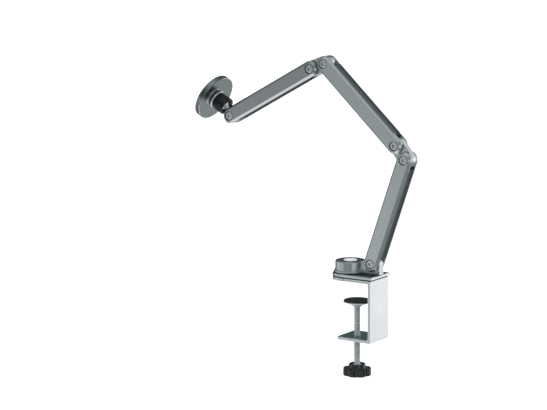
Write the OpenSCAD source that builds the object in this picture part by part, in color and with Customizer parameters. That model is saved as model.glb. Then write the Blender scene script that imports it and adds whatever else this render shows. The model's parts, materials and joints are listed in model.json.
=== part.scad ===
// Foldable tablet stand: a desk clamp carries a swivelling base, three equal
// arms joined by short double-pivot links, and a magnetic disc on a ball joint.
// Frame: the origin is on the desk surface, under the clamp's top plate and on
// the axis of the clamp screw. +Z is up, +X points to the clamp's back wall,
// and every fold axis runs along Y. All sizes are in millimetres.

/* [Desk clamp] */
// Width of the clamp's bent plate
clamp_w = 43; // [38:0.5:46]
// Thickness of the clamp's plate
sheet_t = 3.5; // [3:0.1:4]
// X of the outer face of the back wall
wall_x = 32; // [31:0.5:33]
// Depth of the clamp, from the desk surface to its underside
jaw_depth = 74; // [72:1:80]
// Radius of the rounded front of the top plate
nose_r = 22; // [20:0.25:22.5]
// Radius of the clamp screw's rod
rod_r = 4; // [3.9:0.05:4.05]
// Height of the foot's pressing face in this pose
foot_top = -25.6; // [-27:0.1:-24]
// Middle height of the hand knob
knob_z = -117; // [-119:0.5:-115]
// Radius over the hand knob's lobes
knob_r = 18; // [17:0.1:18.5]

/* [Base] */
// X of the base's swivel axis
swivel_x = -10; // [-10.5:0.1:-9.5]
// Radius of the swivelling drum
drum_r = 18.9; // [18:0.1:19.5]
// Height of the drum's flat top
drum_top = 23.8; // [23.4:0.1:24.2]
// Radius of the flange under the drum
flange_r = 20.5; // [20:0.1:21]

/* [Arms] */
// Length of each arm between its two pivots
arm_len = 139.5; // [130:0.5:150]
// Length of each short link between its two pivots
link_len = 21.35; // [21:0.05:23]
// Height of the arms and links, which is also their end diameter
arm_h = 20; // [19:0.1:20.4]
// Thickness of the arms along the pivots
arm_t = 21; // [20.6:0.1:21.6]
// Width of the slot in each forked arm end
slot_w = 10.6; // [10.4:0.1:10.8]
// Chamfer along the arms
arm_c = 2.7; // [2:0.1:3]
// Radius of a pivot screw's shank
pin_r = 3; // [2.8:0.05:3.1]

/* [Pose] */
// Angle of the lower arm above the horizontal
a1 = 70.55; // [65:0.05:75]
// Angle of the lower link
a2 = 129.3; // [125:0.1:135]
// Angle of the middle arm
a3 = 137; // [132:0.1:142]
// Angle of the upper link
a4 = 198.5; // [194:0.1:204]
// Angle of the upper arm
a5 = 207.6; // [203:0.1:211]
// Angle of the stud that carries the ball
a6 = 140.6; // [136:0.1:145]

/* [Head] */
// Radius of the magnetic disc
disc_r = 30.6; // [30:0.1:31]
// Tilt of the disc's axis away from straight up
head_tilt = 120.1; // [118:0.1:122]
// Radius of the ball
ball_r = 8; // [7.9:0.02:8]
// Radius of the locking collar
collar_r = 11.5; // [11.4:0.1:12]

/* [Hidden] */
$fn = 96;
hw = clamp_w / 2;
plate_z = 0.4;          // underside of the clamp's top plate
plate_top = plate_z + sheet_t;
base_z = 5.6;           // underside of the base plate
base_top = 8.9;         // top of the base plate
base_end = 34;          // X of the base plate's straight end
p0x = 24.5;             // first pivot
p0z = 23.1;
p1x = p0x + arm_len * cos(a1);
p1z = p0z + arm_len * sin(a1);
p2x = p1x + link_len * cos(a2);
p2z = p1z + link_len * sin(a2);
p3x = p2x + arm_len * cos(a3);
p3z = p2z + arm_len * sin(a3);
p4x = p3x + link_len * cos(a4);
p4z = p3z + link_len * sin(a4);
p5x = p4x + arm_len * cos(a5);
p5z = p4z + arm_len * sin(a5);
stud_len = 22.6;        // last pivot to the ball's centre
ball_x = p5x + stud_len * cos(a6);
ball_z = p5z + stud_len * sin(a6);
ball_s = 12;            // ball's centre above the disc's back face
head_x = ball_x - ball_s * sin(head_tilt);
head_z = ball_z - ball_s * cos(head_tilt);
ar = arm_h / 2;
at = arm_t / 2;
sw = slot_w / 2;
tongue_t = 4.88;        // half thickness of links and tongues
slot_d = 11.2;          // depth of a fork slot past its pivot
foot_z = foot_top - 5.6;  // centre of the ball tip under the foot
eps = 0.02;

metal = [0.60, 0.63, 0.64];
bright = [0.82, 0.85, 0.86];
dark = [0.09, 0.10, 0.10];
brass = [0.75, 0.62, 0.35];
steel = [0.68, 0.70, 0.71];

// ---- helpers -------------------------------------------------------------

// A local frame whose X runs along an arm or link from its first pivot
module along(x, z, a) { translate([x, 0, z]) rotate([0, -a, 0]) children(); }

// The head's frame: its Z is the disc's axis, from the disc towards the arm
module head() { translate([head_x, 0, head_z]) rotate([0, head_tilt, 0]) children(); }

// A round bar along Y, from y0 to y1
module ycyl(r, y0, y1, x = 0, z = 0) {
    translate([x, y0, z]) rotate([-90, 0, 0]) cylinder(r = r, h = y1 - y0);
}

// A cone along Y, of radius ra at y0 and rb at y1
module ycone(ra, rb, y0, y1, x = 0, z = 0) {
    translate([x, y0, z]) rotate([-90, 0, 0]) cylinder(r1 = ra, r2 = rb, h = y1 - y0);
}

// A bar with round ends and chamfered long edges, centred on y = 0
module round_bar(len, t, c) {
    rotate([90, 0, 90]) linear_extrude(len)
        polygon([[-t, -ar + c], [-t + c, -ar], [t - c, -ar], [t, -ar + c],
            [t, ar - c], [t - c, ar], [-t + c, ar], [-t, ar - c]]);
    for (x = [0, len]) {
        ycyl(ar, -t + c, t - c, x);
        ycone(ar - c, ar, -t, -t + c, x);
        ycone(ar, ar - c, t - c, t, x);
    }
}

// The slot, counterbores and pivot hole of one forked end, at x = 0
module fork_cuts() {
    translate([-ar - 2, -sw, -ar - 1]) cube([ar + 2 + slot_d, slot_w, arm_h + 2]);
    ycyl(pin_r + eps, -at - 1, at + 1);
    ycyl(6.1, -at - 1, -at + 3);
    ycyl(6.1, at - 3, at + 1);
}

// A recess along one narrow edge of an arm, from one fork slot to the other
module channel(len) {
    x0 = slot_d - 0.01;
    translate([x0, -sw, ar - 2.2]) cube([len - 2 * x0, slot_w, 4]);
}

// One whole arm
module arm_body() {
    difference() {
        round_bar(arm_len, at, arm_c);
        fork_cuts();
        translate([arm_len, 0, 0]) mirror([1, 0, 0]) fork_cuts();
        channel(arm_len);
        mirror([0, 0, 1]) channel(arm_len);
    }
}

// The two cover strips that lie in one arm's recesses, just below its rails
module channel_strips() {
    w = sw - 0.02;
    x0 = slot_d + 0.3;
    for (m = [0, 1]) mirror([0, 0, m]) {
        translate([x0, -w, ar - 2.2]) cube([arm_len - 2 * x0, 2 * w, 0.8]);
        translate([x0, -w + 0.6, ar - 1.4]) cube([arm_len - 2 * x0, 2 * w - 1.2, 0.4]);
    }
}

// Pivot screw: a low round head with a hexagon socket, in the near cheek
module pivot_screw() {
    y0 = -at - 0.1;
    difference() {
        union() {
            ycyl(5.2, y0 + 0.8, -at + 3);
            ycone(4.4, 5.2, y0, y0 + 0.8);
            ycyl(pin_r, -at + 2.5, at - 1.6);
        }
        translate([0, y0 - 0.01, 0]) rotate([-90, 0, 0]) cylinder(r = 2.3, h = 1.9, $fn = 6);
    }
}

// Sleeve nut in the far cheek
module pivot_nut() {
    y1 = at - 0.6;
    difference() {
        union() {
            ycyl(5.2, at - 3, y1 - 0.6);
            ycone(5.2, 4.6, y1 - 0.6, y1);
        }
        ycyl(pin_r + eps, at - 3.5, at - 1.5);
        translate([0, y1 + 0.01, 0]) rotate([90, 0, 0]) cylinder(r = 1.8, h = 0.7, $fn = 6);
    }
}

// The two thin washers beside one tongue
module pivot_washers() {
    for (s = [-1, 1]) difference() {
        ycyl(7.6, s > 0 ? tongue_t + eps : -sw, s > 0 ? sw : -tongue_t - eps);
        ycyl(pin_r + 0.05, -sw - 1, sw + 1);
    }
}

// Flanged sleeve in a tongue or link end
module pivot_bush() {
    difference() {
        ycyl(4.4, -tongue_t, tongue_t);
        ycyl(pin_r + 0.04, -tongue_t - 1, tongue_t + 1);
    }
}

// A set of hardware at both ends of one arm
module both_ends() {
    children();
    translate([arm_len, 0, 0]) children();
}

// A short link with straight sides and two round ends
module link_body() {
    difference() {
        round_bar(link_len, tongue_t, 0.6);
        for (x = [0, link_len]) ycyl(4.4, -tongue_t - 1, tongue_t + 1, x);
    }
}

// ---- desk clamp ----------------------------------------------------------

module clamp_bracket() {
    color(bright) difference() {
        union() {
            // top plate with a round nose under the drum
            translate([swivel_x, 0, plate_z]) cylinder(r = nose_r, h = sheet_t);
            translate([swivel_x, -hw, plate_z]) cube([wall_x - swivel_x - 1, clamp_w, sheet_t]);
            // back wall, with its lower outer edge broken
            rotate([90, 0, 0]) translate([0, 0, -hw]) linear_extrude(clamp_w)
                polygon([[wall_x - sheet_t, plate_z], [wall_x - 2, plate_top], [wall_x - 0.5, plate_top],
                    [wall_x, plate_top - 0.5], [wall_x, -jaw_depth + 0.9],
                    [wall_x - 0.9, -jaw_depth], [wall_x - sheet_t - 2, -jaw_depth],
                    [wall_x - sheet_t - 2, -jaw_depth + sheet_t],
                    [wall_x - sheet_t, -jaw_depth + sheet_t + 2]]);
            // bottom plate
            translate([-12.8, -hw, -jaw_depth]) cube([wall_x - 3 + 12.8, clamp_w, sheet_t]);
            for (s = [-1, 1]) translate([-12.8, s * (hw - 4), -jaw_depth]) cylinder(r = 4, h = sheet_t);
            translate([-16.8, -hw + 4, -jaw_depth]) cube([8, clamp_w - 8, sheet_t]);
        }
        translate([0, 0, -jaw_depth - 1]) cylinder(r = 6, h = sheet_t + 2);
        translate([swivel_x, 0, 0]) cylinder(r = 3 + eps, h = 6);
        for (p = plate_screw_at) translate([p[0], p[1], 0]) {
            cylinder(r = 2 + eps, h = 6);
            translate([0, 0, 0.9]) cylinder(r1 = 4.1 + eps, r2 = 2 + eps, h = 2.1);
        }
        // shallow seat of the desk pad
        translate([0, 0, -1]) pad_outline(19.02, 2);
    }
}
plate_screw_at = [[21, 13.5], [21, -13.5], [-10, 13.5], [-10, -13.5]];

module pad_outline(r, h) {
    translate([swivel_x, 0, 0]) cylinder(r = r, h = h);
    translate([swivel_x, -r, 0]) cube([16 + r, 2 * r, h]);
}

module desk_pad() { color(dark) union() pad_outline(19, 1); }

module thread_bush() {
    color(steel) difference() {
        union() {
            translate([0, 0, -jaw_depth]) cylinder(r = 6, h = sheet_t);
            translate([0, 0, -jaw_depth - 1.5]) cylinder(r = 8, h = 1.5);
            translate([0, 0, -jaw_depth - 3.5]) cylinder(r1 = 6, r2 = 6.5, h = 2);
        }
        translate([0, 0, -jaw_depth - 4]) cylinder(r = rod_r + 0.05, h = sheet_t + 6);
    }
}

module base_outline(r, h, end) {
    translate([swivel_x, 0, 0]) cylinder(r = r, h = h);
    translate([swivel_x, -r, 0]) cube([end - swivel_x, 2 * r, h]);
}

module base_plate() {
    c = 0.9;
    r = nose_r + 0.4;
    color(bright) difference() {
        union() {
            translate([0, 0, base_z]) base_outline(r, base_top - base_z - c, base_end);
            // chamfered rim
            translate([swivel_x, 0, base_top - c]) cylinder(r1 = r, r2 = r - c, h = c);
            translate([swivel_x, 0, 0]) rotate([90, 0, 90]) linear_extrude(base_end - c - swivel_x)
                polygon([[-r, base_top - c], [r, base_top - c], [r - c, base_top], [-r + c, base_top]]);
            rotate([90, 0, 0]) translate([0, 0, -r + c]) linear_extrude(2 * (r - c))
                polygon([[20, base_top - c], [base_end, base_top - c], [base_end - c, base_top], [20, base_top]]);
        }
        translate([swivel_x, 0, 4]) cylinder(r = 3 + eps, h = 6);
        for (p = plate_screw_at) translate([p[0], p[1], 4]) cylinder(r = 2 + eps, h = 4);
    }
}

module plate_gasket() {
    color(dark) difference() {
        translate([0, 0, plate_top]) base_outline(nose_r - 0.9, base_z - plate_top, 31);
        translate([swivel_x, 0, 3]) cylinder(r = 3 + eps, h = 6);
        for (p = plate_screw_at) translate([p[0], p[1], 3]) cylinder(r = 2 + eps, h = 4);
    }
}

module plate_screws() {
    color(steel) for (p = plate_screw_at) translate([p[0], p[1], 1]) difference() {
        union() {
            cylinder(r1 = 4, r2 = 2, h = 2);
            translate([0, 0, 0.5]) cylinder(r = 2, h = 6.3);
        }
        translate([0, 0, -0.01]) cylinder(r = 1.3, h = 1.4, $fn = 6);
    }
}

module bearing_washer() {
    color(dark) translate([swivel_x, 0, base_top]) difference() {
        cylinder(r = 19.4, h = 9.58 - base_top);
        translate([0, 0, -1]) cylinder(r = 3.2, h = 4);
    }
}

module swivel_bolt() {
    color(steel) translate([swivel_x, 0, 0]) difference() {
        union() {
            translate([0, 0, 1.2]) cylinder(r = 3, h = 16);
            translate([0, 0, 17]) cylinder(r = 5, h = 3.5);
            translate([0, 0, 20.5]) cylinder(r1 = 5, r2 = 4.4, h = 0.6);
        }
        translate([0, 0, 18]) cylinder(r = 2.9, h = 4, $fn = 6);
    }
}

module swivel_washers() {
    color(steel) translate([swivel_x, 0, 0]) {
        difference() {
            translate([0, 0, 15.22]) cylinder(r = 7.2, h = 0.78);
            translate([0, 0, 15]) cylinder(r = 3 + eps, h = 3);
        }
        difference() {
            translate([0, 0, 16]) cylinder(r = 6.6, h = 1);
            translate([0, 0, 15]) cylinder(r = 3 + eps, h = 3);
        }
    }
}

// ---- clamp screw ---------------------------------------------------------

module screw_tip() {
    color(steel) translate([0, 0, foot_z]) difference() {
        union() {
            sphere(r = 3.2);
            translate([0, 0, -2.85]) cylinder(r = 2, h = 2);
        }
        translate([0, 0, -4]) cylinder(r = 1.55, h = 5.5);
    }
}

module foot_plate() {
    color(bright) difference() {
        translate([0, 0, foot_top]) rotate_extrude() polygon([[0, -2], [17, -2], [17.3, -2.3],
            [17.3, -2.9], [7.4, -6.2], [6.2, -7.2], [5.9, -8], [0, -8]]);
        translate([0, 0, foot_z]) sphere(r = 3.24);
        translate([0, 0, foot_z - 2.5]) cylinder(r1 = 2.8, r2 = 2.3, h = 0.7);
    }
}

module foot_pad() {
    color(dark) translate([0, 0, foot_top]) rotate_extrude()
        polygon([[0, -2], [17, -2], [17, -0.7], [16.3, 0], [0, 0]]);
}

module clamp_screw() {
    color(steel) union() {
        translate([0, 0, foot_z - 3]) cylinder(r = 1.5, h = 4.4);
        translate([0, 0, foot_z - 3.6]) cylinder(r1 = rod_r, r2 = 3.4, h = 0.7);
        translate([0, 0, knob_z - 3.4]) cylinder(r = rod_r, h = foot_z - 3.6 - knob_z + 3.4);
    }
}

module hand_knob() {
    c = 0.9;
    r = knob_r;
    color(dark) translate([0, 0, knob_z]) difference() {
        rotate_extrude() polygon([[0, -4.5], [r - c, -4.5], [r, -4.5 + c], [r, 4.5 - c],
            [r - c, 4.5], [11.6, 4.5], [10.7, 5.6], [10.4, 9.4], [9.8, 10], [9, 10], [8.7, 8.2], [0, 8.2]]);
        // finger scallops between the lobes
        for (i = [0:7]) rotate([0, 0, i * 45 + 32]) translate([r + 2.9, 0, -6]) cylinder(r = 5.6, h = 12);
        translate([0, 0, -3.5]) cylinder(r = rod_r + eps, h = 20);
        translate([0, 0, 3]) cylinder(r = 7.52, h = 11, $fn = 6);
    }
}

module knob_nut() {
    color(steel) translate([0, 0, knob_z]) difference() {
        translate([0, 0, 3]) cylinder(r = 7.5, h = 5.6, $fn = 6);
        translate([0, 0, 2]) cylinder(r = rod_r + eps, h = 8);
    }
}

// ---- swivelling base -----------------------------------------------------

module turntable() {
    z0 = 9.6;
    color(metal) difference() {
        union() {
            translate([swivel_x, 0, 0]) rotate_extrude() polygon([[0, z0], [flange_r - 0.4, z0],
                [flange_r, z0 + 0.4], [flange_r, z0 + 1.9], [flange_r - 0.8, z0 + 2.7],
                [drum_r, z0 + 2.7], [drum_r, drum_top - 0.9], [drum_r - 0.8, drum_top], [0, drum_top]]);
            // tongue that the lower arm's fork holds
            translate([swivel_x + 10, -tongue_t, z0]) cube([p0x - swivel_x - 10, 2 * tongue_t, p0z - z0 - 0.4]);
            ycyl(10.4, -tongue_t, tongue_t, p0x, p0z);
            translate([p0x, -tongue_t, z0]) cube([10.4, 2 * tongue_t, p0z - z0]);
        }
        translate([swivel_x, 0, 0]) cylinder(r = 4.5, h = 20);
        translate([swivel_x, 0, 15.2]) cylinder(r = 7.6, h = 20);
        translate([swivel_x, 0, 22.3]) cylinder(r = 8.6, h = 20);
        ycyl(4.4, -tongue_t - 1, tongue_t + 1, p0x, p0z);
        // room for the round cheeks of the lower arm beside the tongue
        for (s = [-1, 1]) translate([0, s > 0 ? tongue_t : -tongue_t - 30, 0])
            ycyl(ar + 4.9, 0, 30, p0x, p0z);
    }
}

module swivel_bush() {
    color(brass) translate([swivel_x, 0, 0]) difference() {
        translate([0, 0, 9.65]) cylinder(r = 4.5, h = 5.5);
        translate([0, 0, 9]) cylinder(r = 3.05, h = 8);
    }
}

module centre_cap() {
    color(bright) translate([swivel_x, 0, 22.3]) rotate_extrude()
        polygon([[0, 0], [8.6, 0], [8.6, 1.5], [8.1, 2], [7.2, 2], [6.4, 1.6], [0, 1.3]]);
}

module base_pivot_bush() { color(brass) along(p0x, p0z, 0) pivot_bush(); }

// ---- arms and links ------------------------------------------------------

module lower_arm() { color(metal) along(p0x, p0z, a1) arm_body(); }
module lower_arm_screws() { color(steel) along(p0x, p0z, a1) both_ends() pivot_screw(); }
module lower_arm_nuts() { color(steel) along(p0x, p0z, a1) both_ends() pivot_nut(); }
module lower_arm_washers() { color(dark) along(p0x, p0z, a1) both_ends() pivot_washers(); }
module lower_arm_strips() { color(dark) along(p0x, p0z, a1) channel_strips(); }

module lower_link() { color(metal) along(p1x, p1z, a2) link_body(); }
module lower_link_bushes() {
    color(brass) along(p1x, p1z, a2) for (x = [0, link_len]) translate([x, 0, 0]) pivot_bush();
}

module middle_arm() { color(metal) along(p2x, p2z, a3) arm_body(); }
module middle_arm_screws() { color(steel) along(p2x, p2z, a3) both_ends() pivot_screw(); }
module middle_arm_nuts() { color(steel) along(p2x, p2z, a3) both_ends() pivot_nut(); }
module middle_arm_washers() { color(dark) along(p2x, p2z, a3) both_ends() pivot_washers(); }
module middle_arm_strips() { color(dark) along(p2x, p2z, a3) channel_strips(); }

module upper_link() { color(metal) along(p3x, p3z, a4) link_body(); }
module upper_link_bushes() {
    color(brass) along(p3x, p3z, a4) for (x = [0, link_len]) translate([x, 0, 0]) pivot_bush();
}

module upper_arm() { color(metal) along(p4x, p4z, a5) arm_body(); }
module upper_arm_screws() { color(steel) along(p4x, p4z, a5) both_ends() pivot_screw(); }
module upper_arm_nuts() { color(steel) along(p4x, p4z, a5) both_ends() pivot_nut(); }
module upper_arm_washers() { color(dark) along(p4x, p4z, a5) both_ends() pivot_washers(); }
module upper_arm_strips() { color(dark) along(p4x, p4z, a5) channel_strips(); }

// ---- ball joint ----------------------------------------------------------

module ball_stud() {
    c = 0.5;
    color(bright) along(p5x, p5z, a6) difference() {
        union() {
            translate([stud_len, 0, 0]) sphere(r = ball_r);
            rotate([0, 90, 0]) cylinder(r = 3.3, h = stud_len);
            translate([7, 0, 0]) rotate([0, 90, 0]) cylinder(r1 = 4.6, r2 = 3.3, h = 5);
            ycyl(ar - 0.3, -tongue_t + c, tongue_t - c);
            ycone(ar - 0.3 - c, ar - 0.3, -tongue_t, -tongue_t + c);
            ycone(ar - 0.3, ar - 0.3 - c, tongue_t - c, tongue_t);
        }
        ycyl(4.4, -tongue_t - 1, tongue_t + 1);
    }
}

module stud_bush() { color(brass) along(p5x, p5z, a6) pivot_bush(); }

module ball_liner() {
    color(dark) head() difference() {
        intersection() {
            translate([0, 0, ball_s]) sphere(r = 9.25);
            translate([-20, -20, -10]) cube([40, 40, ball_s + 12]);
        }
        translate([0, 0, ball_s]) sphere(r = ball_r + 0.03);
    }
}

module ball_socket() {
    color(bright) head() difference() {
        union() {
            translate([0, 0, 0.05]) cylinder(r = 10.6, h = 1.65);
            translate([0, 0, 1.7]) cylinder(r1 = 11.8, r2 = 12.2, h = 0.3);
            translate([0, 0, 2]) cylinder(r = 12.2, h = 1.55);
            translate([0, 0, 3.55]) cylinder(r1 = 12.2, r2 = 11.7, h = 0.5);
            translate([0, 0, 4]) cylinder(r = 10.25, h = 8.5);
            translate([0, 0, -2.3]) cylinder(r = 4.95, h = 3);
        }
        translate([0, 0, ball_s]) sphere(r = 9.3);
        translate([0, 0, -3]) cylinder(r = 2 + eps, h = 4.6);
    }
}

module socket_washer() {
    color(steel) head() difference() {
        translate([0, 0, -3.1]) cylinder(r = 8.2, h = 0.8);
        translate([0, 0, -4]) cylinder(r = 2 + eps, h = 3);
    }
}

module socket_screw() {
    color(steel) head() difference() {
        union() {
            translate([0, 0, -5.2]) cylinder(r = 3.8, h = 2.1);
            translate([0, 0, -3.6]) cylinder(r = 2, h = 5.1);
        }
        translate([0, 0, -5.21]) cylinder(r = 1.6, h = 1.3, $fn = 6);
    }
}

module locking_collar() {
    color(dark) head() difference() {
        rotate_extrude() polygon([[6, 4.2], [collar_r - 0.5, 4.2], [collar_r, 4.7],
            [collar_r, 19.4], [collar_r - 1.3, 20.6], [6, 20.6]]);
        translate([0, 0, 2]) cylinder(r = 10.3, h = 10.6);
        translate([0, 0, ball_s]) sphere(r = 9.35);
        translate([0, 0, 16.9]) cylinder(r1 = 6.9, r2 = 9.3, h = 3.71);
        // grip flutes
        for (i = [0:29]) rotate([0, 0, i * 12]) translate([collar_r + 0.35, 0, 5.8]) cylinder(r = 0.75, h = 12, $fn = 16);
    }
}

// ---- magnetic disc -------------------------------------------------------

module disc_housing() {
    c = 0.4;
    color(metal) head() difference() {
        rotate_extrude() polygon([[0, -6.7], [disc_r - 0.4, -6.7], [disc_r, -6.3],
            [disc_r, -c], [disc_r - c, 0], [0, 0]]);
        translate([0, 0, -7]) cylinder(r = 27.6, h = 4.8);
        translate([0, 0, -7]) cylinder(r = 5, h = 8);
    }
}

module backing_plate() {
    color(steel) head() difference() {
        translate([0, 0, -3]) cylinder(r = 27.5, h = 0.8);
        translate([0, 0, -4]) cylinder(r = 10.2, h = 3);
    }
}

magnet_count = 16;
module magnet_carrier() {
    color(dark) head() difference() {
        translate([0, 0, -6.7]) cylinder(r = 27.5, h = 3.7);
        translate([0, 0, -7]) cylinder(r = 10.2, h = 5);
        for (i = [0:magnet_count - 1]) rotate([0, 0, i * 360 / magnet_count])
            translate([21.5, 0, -6.5]) cylinder(r = 4.02, h = 5);
    }
}

module magnets() {
    color(steel) head() for (i = [0:magnet_count - 1]) rotate([0, 0, i * 360 / magnet_count])
        translate([21.5, 0, -6.5]) cylinder(r = 4, h = 3.5);
}

module face_pad() {
    color(dark) head() rotate_extrude()
        polygon([[0, -6.7], [disc_r - 0.2, -6.7], [disc_r - 0.2, -7.2], [disc_r - 0.6, -7.5], [0, -7.5]]);
}

// ---- what is drawn -------------------------------------------------------

clamp_bracket();
desk_pad();
thread_bush();
base_plate();
plate_gasket();
plate_screws();
bearing_washer();
swivel_bolt();
swivel_washers();
screw_tip();
foot_plate();
foot_pad();
clamp_screw();
hand_knob();
knob_nut();
turntable();
swivel_bush();
centre_cap();
base_pivot_bush();
lower_arm();
lower_arm_screws();
lower_arm_nuts();
lower_arm_washers();
lower_arm_strips();
lower_link();
lower_link_bushes();
middle_arm();
middle_arm_screws();
middle_arm_nuts();
middle_arm_washers();
middle_arm_strips();
upper_link();
upper_link_bushes();
upper_arm();
upper_arm_screws();
upper_arm_nuts();
upper_arm_washers();
upper_arm_strips();
ball_stud();
stud_bush();
ball_liner();
ball_socket();
socket_washer();
socket_screw();
locking_collar();
disc_housing();
backing_plate();
magnet_carrier();
magnets();
face_pad();
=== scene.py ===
"""Looks of the foldable tablet stand: finishes, fine geometry, studio and camera."""

import json
import math

import bmesh
import bpy
from mathutils import Matrix, Vector


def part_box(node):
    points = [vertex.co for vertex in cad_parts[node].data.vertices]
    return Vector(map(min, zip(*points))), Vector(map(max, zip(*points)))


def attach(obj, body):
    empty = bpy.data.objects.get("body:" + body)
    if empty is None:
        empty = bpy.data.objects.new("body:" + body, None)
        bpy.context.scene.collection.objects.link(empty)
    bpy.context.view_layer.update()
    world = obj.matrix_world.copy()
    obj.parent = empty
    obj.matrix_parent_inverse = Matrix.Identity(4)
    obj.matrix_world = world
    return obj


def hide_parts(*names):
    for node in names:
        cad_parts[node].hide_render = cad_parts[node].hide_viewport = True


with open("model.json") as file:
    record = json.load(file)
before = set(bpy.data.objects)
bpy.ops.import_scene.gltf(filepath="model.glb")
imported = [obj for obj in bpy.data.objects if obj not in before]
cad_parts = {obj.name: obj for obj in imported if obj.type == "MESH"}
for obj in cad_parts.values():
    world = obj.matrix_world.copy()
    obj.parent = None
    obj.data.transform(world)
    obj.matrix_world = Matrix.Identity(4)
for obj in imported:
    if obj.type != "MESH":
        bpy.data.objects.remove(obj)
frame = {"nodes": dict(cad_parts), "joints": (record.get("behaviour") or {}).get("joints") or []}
NODES = frame["nodes"]
JOINTS = {j["name"]: j for j in frame["joints"]}
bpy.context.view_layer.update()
scene = bpy.context.scene
MM = 0.001


def pivot(name):
    return Vector(JOINTS[name]["pos_m"])


P0, P1, P2, P3, P4, P5 = (
    pivot(n)
    for n in (
        "base_fold",
        "lower_link_fold",
        "middle_arm_fold",
        "upper_link_fold",
        "upper_arm_fold",
        "head_fold",
    )
)
BALL = pivot("ball_pitch")
HEAD_N = Vector(JOINTS["disc_spin"]["axis"]).normalized()
HEAD_O = pivot("disc_spin")


def slope(a, b):
    """Angle of the line from a to b above +X, in the XZ plane."""
    return math.atan2(b.z - a.z, b.x - a.x)


# --------------------------------------------------------------------------
# camera, at the viewing angle of the photograph
# --------------------------------------------------------------------------
cam_data = bpy.data.cameras.new("camera")
cam = bpy.data.objects.new("camera", cam_data)
scene.collection.objects.link(cam)
cam.location = (1.1031, -1.75623, 0.41247)
cam.rotation_euler = (
    Matrix.Rotation(0.61079, 3, "Z")
    @ Matrix.Rotation(math.pi / 2 - 0.1525, 3, "X")
    @ Matrix.Rotation(-0.00587, 3, "Z")
).to_euler()
cam_data.sensor_width = 36
cam_data.lens = 36 * 1698.04 / 547
cam_data.clip_start, cam_data.clip_end = 0.05, 600
scene.camera = cam


# --------------------------------------------------------------------------
# materials
# --------------------------------------------------------------------------
class Graph:
    """A material's node tree, with short calls to add to it."""

    def __init__(self, name):
        self.mat = bpy.data.materials.new(name)
        self.mat.use_nodes = True
        self.nt = self.mat.node_tree
        self.nt.nodes.clear()
        out = self.nt.nodes.new("ShaderNodeOutputMaterial")
        self.bsdf = self.nt.nodes.new("ShaderNodeBsdfPrincipled")
        self.link(self.bsdf.outputs["BSDF"], out.inputs["Surface"])

    def node(self, kind, **props):
        n = self.nt.nodes.new(kind)
        for k, v in props.items():
            setattr(n, k, v)
        return n

    def link(self, a, b):
        self.nt.links.new(a, b)

    def put(self, socket, value):
        if isinstance(value, bpy.types.NodeSocket):
            self.link(value, socket)
        else:
            socket.default_value = value

    def coords(self, scale=(1, 1, 1), turn=(0, 0, 0), shift=(0, 0, 0)):
        tc = self.node("ShaderNodeTexCoord")
        # first turned so that X runs along the piece, then stretched
        rot = self.node("ShaderNodeMapping", vector_type="POINT")
        rot.inputs["Rotation"].default_value = turn
        rot.inputs["Location"].default_value = shift
        self.link(tc.outputs["Object"], rot.inputs["Vector"])
        sc = self.node("ShaderNodeMapping", vector_type="POINT")
        sc.inputs["Scale"].default_value = scale
        self.link(rot.outputs["Vector"], sc.inputs["Vector"])
        return sc.outputs["Vector"]

    def noise(self, vector, scale, detail=3.0, rough=0.55):
        n = self.node("ShaderNodeTexNoise")
        n.inputs["Scale"].default_value = scale
        n.inputs["Detail"].default_value = detail
        n.inputs["Roughness"].default_value = rough
        self.link(vector, n.inputs["Vector"])
        return n.outputs["Fac"]

    def remap(self, value, a, b, c, d):
        n = self.node("ShaderNodeMapRange")
        n.inputs["From Min"].default_value = a
        n.inputs["From Max"].default_value = b
        n.inputs["To Min"].default_value = c
        n.inputs["To Max"].default_value = d
        self.link(value, n.inputs["Value"])
        return n.outputs["Result"]

    def math(self, op, a, b=0.0):
        n = self.node("ShaderNodeMath", operation=op)
        self.put(n.inputs[0], a)
        self.put(n.inputs[1], b)
        return n.outputs[0]

    def mix(self, fac, a, b):
        n = self.node("ShaderNodeMix", data_type="RGBA")
        self.put(n.inputs["Factor"], fac)
        self.put(n.inputs[6], a)
        self.put(n.inputs[7], b)
        return n.outputs[2]

    def bump(self, height, strength, distance, normal=None):
        n = self.node("ShaderNodeBump")
        n.inputs["Strength"].default_value = strength
        n.inputs["Distance"].default_value = distance
        self.link(height, n.inputs["Height"])
        if normal is not None:
            self.link(normal, n.inputs["Normal"])
        return n.outputs["Normal"]

    def about(self, origin, axis):
        """Distance along an axis and away from it, in metres."""
        tc = self.node("ShaderNodeTexCoord")
        sub = self.node("ShaderNodeVectorMath", operation="SUBTRACT")
        self.link(tc.outputs["Object"], sub.inputs[0])
        sub.inputs[1].default_value = origin
        dot = self.node("ShaderNodeVectorMath", operation="DOT_PRODUCT")
        self.link(sub.outputs["Vector"], dot.inputs[0])
        dot.inputs[1].default_value = axis
        cross = self.node("ShaderNodeVectorMath", operation="CROSS_PRODUCT")
        self.link(sub.outputs["Vector"], cross.inputs[0])
        cross.inputs[1].default_value = axis
        size = self.node("ShaderNodeVectorMath", operation="LENGTH")
        self.link(cross.outputs["Vector"], size.inputs[0])
        return dot.outputs["Value"], size.outputs["Value"]

    def edges(self, radius):
        """1 on sharp outer edges, 0 on open faces."""
        bev = self.node("ShaderNodeBevel", samples=4)
        bev.inputs["Radius"].default_value = radius
        geo = self.node("ShaderNodeNewGeometry")
        dot = self.node("ShaderNodeVectorMath", operation="DOT_PRODUCT")
        self.link(bev.outputs["Normal"], dot.inputs[0])
        self.link(geo.outputs["Normal"], dot.inputs[1])
        return self.remap(dot.outputs["Value"], 0.82, 0.995, 1.0, 0.0)


def shade(c, k):
    return (min(c[0] * k, 1), min(c[1] * k, 1), min(c[2] * k, 1), 1)


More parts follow.
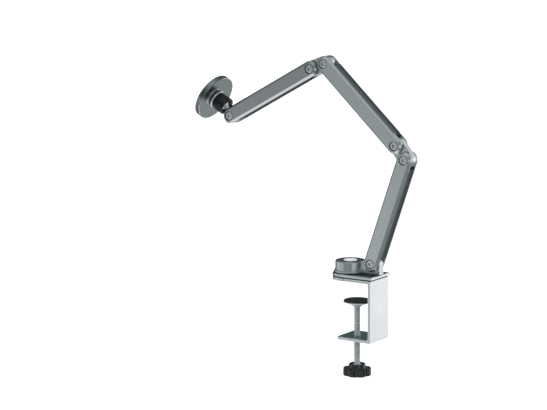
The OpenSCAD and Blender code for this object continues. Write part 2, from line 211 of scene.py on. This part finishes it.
def metal(
    name,
    color,
    rough=0.3,
    turn=0.0,
    grain=(60, 2600, 2600),
    spread=0.05,
    line=0.02,
    tone=0.05,
    wear=0.25,
    metallic=1.0,
    painted_rail_shade=None,
    top=None,
    painted_wall_shade=None,
    neck=None,
):
    """Brushed or bead-blasted metal. Its grain runs along X turned by that angle in the XZ plane."""
    g = Graph(name)
    v = g.coords(scale=grain, turn=(0, turn, 0))
    fine = g.noise(v, 1.0, 4.0, 0.6)
    cloud = g.noise(g.coords(turn=(0, turn, 0)), 38.0, 3.0, 0.5)
    speck = g.noise(g.coords(shift=(0.3, 0.1, 0.7)), 900.0, 2.0, 0.5)
    base = g.mix(cloud, shade(color, 1 - tone), shade(color, 1 + tone))
    base = g.mix(g.remap(fine, 0.35, 0.65, 0.0, 0.5), base, shade(color, 1 - 1.5 * tone))
    edge = g.math("MULTIPLY", g.edges(0.0004), g.remap(cloud, 0.3, 0.7, wear * 0.5, wear))
    base = g.mix(edge, base, shade(color, 1.35))
    if painted_rail_shade:
        # painted shade: the flat rails beside the cover strips are painted dark, between the two forks, standing in
        # for the shade there
        first, angle, depth = painted_rail_shade
        tc = g.node("ShaderNodeTexCoord")
        sub = g.node("ShaderNodeVectorMath", operation="SUBTRACT")
        g.link(tc.outputs["Object"], sub.inputs[0])
        sub.inputs[1].default_value = first
        rot = g.node("ShaderNodeMapping", vector_type="POINT")
        rot.inputs["Rotation"].default_value = (0, angle, 0)
        g.link(sub.outputs["Vector"], rot.inputs["Vector"])
        sep = g.node("ShaderNodeSeparateXYZ")
        g.link(rot.outputs["Vector"], sep.inputs["Vector"])
        up = g.remap(g.math("ABSOLUTE", sep.outputs["Z"]), 0.00960, 0.00985, 0.0, 1.0)
        mid = g.math("ABSOLUTE", g.math("SUBTRACT", sep.outputs["X"], 0.06975))
        run = g.remap(mid, 0.0580, 0.0590, 1.0, 0.0)
        rail = g.math("MULTIPLY", up, run)
        # painted shade colour for the rails
        base = g.mix(g.math("MULTIPLY", rail, depth), base, shade((0.16, 0.19, 0.20), 1.0))
    if top:
        # painted shade: faces that look straight up are painted darker, standing in for the dark they reflect from
        # above
        tc = g.node("ShaderNodeTexCoord")
        sep = g.node("ShaderNodeSeparateXYZ")
        g.link(tc.outputs["Normal"], sep.inputs["Vector"])
        base = g.mix(g.remap(sep.outputs["Z"], 0.93, 0.98, 0.0, 1.0), base, shade(top, 1.0))
    if painted_wall_shade:
        # painted shade: the disc's side wall is painted darker than its faces and its bright cut edge
        away = g.about(HEAD, HEAD_AXIS)[1]
        base = g.mix(g.remap(away, 0.03046, 0.03054, 0.0, 1.0), base, shade(painted_wall_shade, 1.0))
    if neck:
        # painted shade: the step between the ring and the disc is painted dark
        along = g.about(HEAD, HEAD_AXIS)[0]
        base = g.mix(g.remap(along, 0.00168, 0.00174, 1.0, 0.0), base, shade(neck, 1.0))
    g.link(base, g.bsdf.inputs["Base Color"])
    r = g.math("ADD", g.remap(fine, 0.3, 0.7, rough - spread, rough + spread), g.remap(cloud, 0.3, 0.7, -0.02, 0.03))
    r = g.math("SUBTRACT", r, g.math("MULTIPLY", edge, 0.12))
    g.link(r, g.bsdf.inputs["Roughness"])
    n = g.bump(fine, line, 0.00004)
    n = g.bump(speck, line * 1.5, 0.00002, n)
    g.link(n, g.bsdf.inputs["Normal"])
    g.bsdf.inputs["Metallic"].default_value = metallic
    return g.mat


def plastic(name, color, rough=0.45, spread=0.08, pebble=0.15, size=1400.0, coat=0.0, wear=0.35, shine=0.5):
    """Moulded plastic or rubber: a fine pebble, dull and worn along its edges."""
    g = Graph(name)
    v = g.coords()
    fine = g.noise(v, size, 2.0, 0.5)
    cloud = g.noise(v, 60.0, 4.0, 0.6)
    dust = g.noise(g.coords(shift=(0.5, 0.2, 0.1)), 420.0, 3.0, 0.7)
    base = g.mix(cloud, shade(color, 0.85), shade(color, 1.2))
    base = g.mix(g.remap(dust, 0.62, 0.78, 0.0, 0.25), base, shade(color, 2.2))
    edge = g.math("MULTIPLY", g.edges(0.0004), g.remap(cloud, 0.35, 0.65, wear * 0.3, wear))
    base = g.mix(edge, base, shade(color, 2.6))
    g.link(base, g.bsdf.inputs["Base Color"])
    g.link(g.remap(cloud, 0.3, 0.7, rough - spread, rough + spread), g.bsdf.inputs["Roughness"])
    g.link(g.bump(fine, pebble, 0.00006), g.bsdf.inputs["Normal"])
    g.bsdf.inputs["Specular IOR Level"].default_value = shine
    g.bsdf.inputs["Coat Weight"].default_value = coat
    g.bsdf.inputs["Coat Roughness"].default_value = 0.12
    return g.mat


HEAD = (-0.216313, 0.0, 0.215258)  # centre of the disc's back face
HEAD_AXIS = (0.86515, 0.0, -0.50151)
ARM = (0.68, 0.71, 0.715)
CLAMP = (0.77, 0.795, 0.80)


def tint(c, k):
    return tuple(x * k for x in c)


# painted shade: the arms and the links are one metal; the upper arm and the upper link are painted darker and the
# lower arm a touch lighter, and each arm's rails get their own painted shade depth
M_LOWER = metal("arm metal lower", tint(ARM, 1.02), 0.30, slope(P0, P1), painted_rail_shade=(P0, slope(P0, P1), 0.4))
M_MIDDLE = metal("arm metal middle", ARM, 0.30, slope(P2, P3), painted_rail_shade=(P2, slope(P2, P3), 0.8))
M_UPPER = metal("arm metal upper", tint(ARM, 0.72), 0.30, slope(P4, P5), painted_rail_shade=(P4, slope(P4, P5), 0.8))
M_LINK1 = metal("link metal lower", ARM, 0.27, slope(P1, P2))
M_LINK2 = metal("link metal upper", tint(ARM, 0.9), 0.27, slope(P3, P4))
# painted shade: the upward faces of the turntable, the clamp and the base plate are painted darker
M_BASE = metal("turned metal base", ARM, 0.33, 0.0, grain=(300, 300, 2600), line=0.008, tone=0.03, top=(0.33, 0.40, 0.43))
M_CLAMP = metal("clamp metal", CLAMP, 0.28, 0.0, grain=(1800, 60, 1800), spread=0.015, line=0.004, tone=0.008, top=(0.42, 0.50, 0.52))
M_PLATE = metal("base plate metal", CLAMP, 0.28, 0.0, grain=(60, 1800, 1800), top=(0.24, 0.29, 0.31))
M_CAP = metal("cap metal", (0.78, 0.79, 0.79), 0.34, 0.0, grain=(300, 300, 300), metallic=0.15)
M_FOOT = metal("foot metal", (0.93, 0.935, 0.94), 0.32, 0.0, grain=(300, 300, 300), metallic=0.15)
# painted shade: the disc's side wall is painted darker
M_DISC = metal("disc metal", (0.66, 0.695, 0.70), 0.26, 0.0, grain=(300, 300, 300), spread=0.02, line=0.005, tone=0.01, painted_wall_shade=(0.33, 0.355, 0.36))
# painted shade: the step between the ring and the disc is painted dark
M_RING = metal("ring metal", (0.82, 0.84, 0.84), 0.32, 0.0, grain=(300, 300, 300), line=0.006, metallic=0.75, neck=(0.10, 0.13, 0.14))
M_STEEL = metal("screw steel", (0.70, 0.72, 0.73), 0.26, 0.0, grain=(700, 700, 700))
M_ROD = metal("rod steel", (0.80, 0.82, 0.83), 0.28, 0.0, grain=(700, 700, 700), metallic=0.65)
M_BALL = metal("ball steel", (0.78, 0.80, 0.81), 0.42, 0.0, grain=(500, 500, 500), line=0.01, metallic=0.45)
M_BRONZE = metal("bush bronze", (0.55, 0.42, 0.24), 0.35, 0.0, grain=(900, 900, 900))
M_BLACK = plastic("black plastic", (0.006, 0.0065, 0.007), 0.30, pebble=0.1, shine=1.0)
M_COLLAR = plastic("collar plastic", (0.004, 0.0045, 0.005), 0.30, coat=0.2, pebble=0.08)
# painted shade: the dark strips stand in for the shade in the arms' channels, painted darker on each higher arm
M_STRIP_L = plastic("strip painted shade lower", (0.062, 0.084, 0.090), 0.42, pebble=0.08)
M_STRIP_M = plastic("strip painted shade middle", (0.030, 0.042, 0.046), 0.42, pebble=0.08)
M_STRIP_U = plastic("strip painted shade upper", (0.020, 0.027, 0.030), 0.42, pebble=0.08)
M_RUBBER = plastic("rubber", (0.018, 0.019, 0.02), 0.7, pebble=0.35, size=2200.0)
M_WASHER = plastic("washer plastic", (0.02, 0.02, 0.02), 0.5)


# --------------------------------------------------------------------------
# finish of the construction's own pieces
# --------------------------------------------------------------------------
def dress(node, mat, bevel=0.2, segments=2, angle=32):
    """A CAD piece keeps its shape, and gets its finish and its broken edges."""
    o = NODES[node]
    o.data.materials.clear()
    o.data.materials.append(mat)
    for p in o.data.polygons:
        p.use_smooth = True
        p.material_index = 0
    w = o.modifiers.new("weld", "WELD")
    w.merge_threshold = 2e-6
    d = o.modifiers.new("flat", "DECIMATE")
    d.decimate_type = "DISSOLVE"
    d.angle_limit = math.radians(0.6)
    if bevel:
        b = o.modifiers.new("broken edges", "BEVEL")
        b.width = bevel * MM
        b.segments = segments
        b.limit_method = "ANGLE"
        b.angle_limit = math.radians(angle)
        b.miter_outer = "MITER_ARC"
        b.use_clamp_overlap = True
        b.harden_normals = False
    n = o.modifiers.new("even shading", "WEIGHTED_NORMAL")
    n.mode = "FACE_AREA"
    n.weight = 80
    n.keep_sharp = True
    return o


dress("clamp_bracket", M_CLAMP, 0.35)
dress("desk_pad", M_RUBBER, 0.15)
dress("thread_bush", M_STEEL, 0.15)
dress("base_plate", M_PLATE, 0.12)
dress("plate_gasket", M_RUBBER, 0)
dress("plate_screws", M_STEEL, 0.08)
dress("bearing_washer", M_WASHER, 0.1)
dress("swivel_bolt", M_STEEL, 0.1)
dress("swivel_washers", M_STEEL, 0)
dress("screw_tip", M_STEEL, 0)
dress("foot_plate", M_FOOT, 0.15)
dress("foot_pad", M_RUBBER, 0.2)
dress("clamp_screw", M_ROD, 0.1)
dress("hand_knob", M_BLACK, 0.2, 2)
dress("knob_nut", M_STEEL, 0.2)
dress("turntable", M_BASE, 0.15)
dress("swivel_bush", M_BRONZE, 0)
dress("centre_cap", M_CAP, 0.1)
dress("base_pivot_bush", M_BRONZE, 0)
for arm, mat, strip in (("lower", M_LOWER, M_STRIP_L), ("middle", M_MIDDLE, M_STRIP_M), ("upper", M_UPPER, M_STRIP_U)):
    dress(arm + "_arm", mat, 0.18)
    dress(arm + "_arm_screws", M_STEEL, 0.12)
    dress(arm + "_arm_nuts", M_STEEL, 0.12)
    dress(arm + "_arm_washers", M_WASHER, 0)
    dress(arm + "_arm_strips", strip, 0.1)
for link, mat in (("lower", M_LINK1), ("upper", M_LINK2)):
    dress(link + "_link", mat, 0.2)
    dress(link + "_link_bushes", M_BRONZE, 0)
dress("ball_stud", M_BALL, 0.2)
dress("stud_bush", M_BRONZE, 0)
dress("ball_liner", M_WASHER, 0)
dress("ball_socket", M_RING, 0.15)
dress("socket_washer", M_STEEL, 0)
dress("socket_screw", M_STEEL, 0.1)
dress("locking_collar", M_COLLAR, 0.2)
dress("disc_housing", M_DISC, 0.2)
dress("backing_plate", M_STEEL, 0)
dress("magnet_carrier", M_BLACK, 0)
dress("magnets", M_STEEL, 0)
dress("face_pad", M_RUBBER, 0.15)


# --------------------------------------------------------------------------
# the clamp screw with its real thread, 1.25 mm pitch
# --------------------------------------------------------------------------
def clamp_rod():
    lo, hi = (Vector(c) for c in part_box("clamp_screw"))
    cx, cy = (lo.x + hi.x) / 2, (lo.y + hi.y) / 2
    z0, z1 = lo.z, hi.z
    top = z1 - 4.3 * MM  # where the rod ends under the foot
    neck = top - 0.7 * MM
    start = z0 + 13.5 * MM  # where it leaves the knob
    turns, steps = 40, 8
    rings = [(z0, 3.7), (z0 + 0.3 * MM, 4.0), (start - 0.2 * MM, 4.0)]
    n = int((neck - start) / MM * steps)
    for i in range(n + 1):
        rings.append((start + (neck - start) * i / n, None))
    rings += [(neck + 0.02 * MM, 4.0), (top - 0.01 * MM, 3.4), (top, 1.5), (z1, 1.5)]
    bm = bmesh.new()
    rows = []
    for z, r in rings:
        row = []
        for k in range(turns):
            a = 2 * math.pi * k / turns
            if r is None:
                f = (z / MM / 1.25 - k / turns) % 1.0
                tooth = min(1.0, max(0.0, 1.35 - abs(f - 0.5) * 3.6))
                fade = min(1.0, (z - start) / (0.9 * MM), (neck - z) / (0.9 * MM))
                rr = 4.0 - 0.62 * (1.0 - tooth) * max(0.0, fade)
            else:
                rr = r
            row.append(bm.verts.new((cx + rr * MM * math.cos(a), cy + rr * MM * math.sin(a), z)))
        rows.append(row)
    for p, q in zip(rows, rows[1:]):
        for k in range(turns):
            m = (k + 1) % turns
            bm.faces.new((p[k], p[m], q[m], q[k]))
    bm.faces.new(list(reversed(rows[0])))
    bm.faces.new(rows[-1])
    for f in bm.faces:
        f.smooth = True
    me = bpy.data.meshes.new("threaded_rod")
    bm.to_mesh(me)
    bm.free()
    o = bpy.data.objects.new("threaded_rod", me)
    scene.collection.objects.link(o)
    me.materials.append(M_ROD)
    e = o.modifiers.new("corners", "EDGE_SPLIT")
    e.split_angle = math.radians(50)
    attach(o, "clamp_handle")
    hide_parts("clamp_screw")
    return o


clamp_rod()


# --------------------------------------------------------------------------
# studio
# --------------------------------------------------------------------------
FLOOR_Z = -2.6  # far below, so no shadow shows and low views stay clear
bpy.ops.mesh.primitive_plane_add(size=400, location=(0, 0, FLOOR_Z))
floor = bpy.context.object
floor.name = "floor"
g = Graph("pale floor")
cloud = g.noise(g.coords(), 2.0, 2.0, 0.5)
g.link(g.mix(cloud, (0.86, 0.87, 0.875, 1), (0.89, 0.9, 0.905, 1)), g.bsdf.inputs["Base Color"])
g.bsdf.inputs["Roughness"].default_value = 1.0
g.bsdf.inputs["Specular IOR Level"].default_value = 0.0
floor.data.materials.append(g.mat)
floor.visible_glossy = False
floor.visible_diffuse = False

world = bpy.data.worlds.new("studio")
scene.world = world
world.use_nodes = True
nt = world.node_tree
nt.nodes.clear()
w_out = nt.nodes.new("ShaderNodeOutputWorld")
tc = nt.nodes.new("ShaderNodeTexCoord")


def w_lobe(direction, power, strength, color=(1.0, 1.0, 1.0)):
    """A soft patch of light in one direction; a higher power makes it smaller."""
    dot = nt.nodes.new("ShaderNodeVectorMath")
    dot.operation = "DOT_PRODUCT"
    nt.links.new(tc.outputs["Generated"], dot.inputs[0])
    dot.inputs[1].default_value = Vector(direction).normalized()
    top = nt.nodes.new("ShaderNodeMath")
    top.operation = "MAXIMUM"
    nt.links.new(dot.outputs["Value"], top.inputs[0])
    top.inputs[1].default_value = 0
    p = nt.nodes.new("ShaderNodeMath")
    p.operation = "POWER"
    nt.links.new(top.outputs[0], p.inputs[0])
    p.inputs[1].default_value = power
    s = nt.nodes.new("ShaderNodeVectorMath")
    s.operation = "SCALE"
    s.inputs[0].default_value = [c * strength for c in color]
    nt.links.new(p.outputs[0], s.inputs["Scale"])
    return s.outputs[0]


def w_add(a, b):
    n = nt.nodes.new("ShaderNodeVectorMath")
    n.operation = "ADD"
    nt.links.new(a, n.inputs[0])
    if isinstance(b, bpy.types.NodeSocket):
        nt.links.new(b, n.inputs[1])
    else:
        n.inputs[1].default_value = b
    return n.outputs[0]


# the softboxes and cards round the object, as its metal sees them
CARDS = (
    ((0.54, 0.82, -0.06), 16, 1.38),  # tall card behind on the right
    ((0.28, 0.84, 0.45), 16, 0.75),  # its top, leaning in
    ((-0.93, -0.30, -0.10), 10, 0.66),  # card on the left
    ((0.90, -0.45, 0.00), 14, 0.40),  # card on the right
    ((0.82, -0.54, -0.18), 60, 0.80),  # narrow strip light on the right
    ((0.30, -0.45, 0.84), 7, 0.44),  # overhead, in front
    ((-0.25, -0.15, 0.95), 8, 0.36),  # overhead
    ((-0.08, -0.18, -0.98), 5, 1.25),  # table top below
    ((-0.20, 0.45, -0.87), 8, 0.85),  # table top behind
    ((-0.52, -0.82, -0.27), 45, 0.72),  # table top in front
    ((0.14, -0.95, -0.25), 24, 0.36),  # table top in front, on the right
    ((-0.60, 0.30, 0.75), 6, 0.12),  # overhead, behind
)
total = w_lobe(*CARDS[0])
for card in CARDS[1:]:
    total = w_add(total, w_lobe(*card))
total = w_add(total, (0.070, 0.096, 0.104))
dark_bg = nt.nodes.new("ShaderNodeBackground")
nt.links.new(total, dark_bg.inputs["Color"])
pale_bg = nt.nodes.new("ShaderNodeBackground")
pale_bg.inputs["Color"].default_value = (1.0, 1.0, 1.0, 1)
lp = nt.nodes.new("ShaderNodeLightPath")
mixer = nt.nodes.new("ShaderNodeMixShader")
nt.links.new(lp.outputs["Is Camera Ray"], mixer.inputs[0])
nt.links.new(dark_bg.outputs[0], mixer.inputs[1])
nt.links.new(pale_bg.outputs[0], mixer.inputs[2])
nt.links.new(mixer.outputs[0], w_out.inputs["Surface"])

# one very wide overhead light keeps the floor evenly pale
sun_data = bpy.data.lights.new("overhead", "SUN")
sun_data.energy = 3.6
sun_data.angle = math.radians(150)
sun = bpy.data.objects.new("overhead", sun_data)
scene.collection.objects.link(sun)
sun.location = (0, 0, 3)
sun.visible_glossy = False

scene.view_settings.view_transform = "Standard"
scene.view_settings.look = "None"
scene.view_settings.exposure = 0.0
scene.view_settings.gamma = 1.0
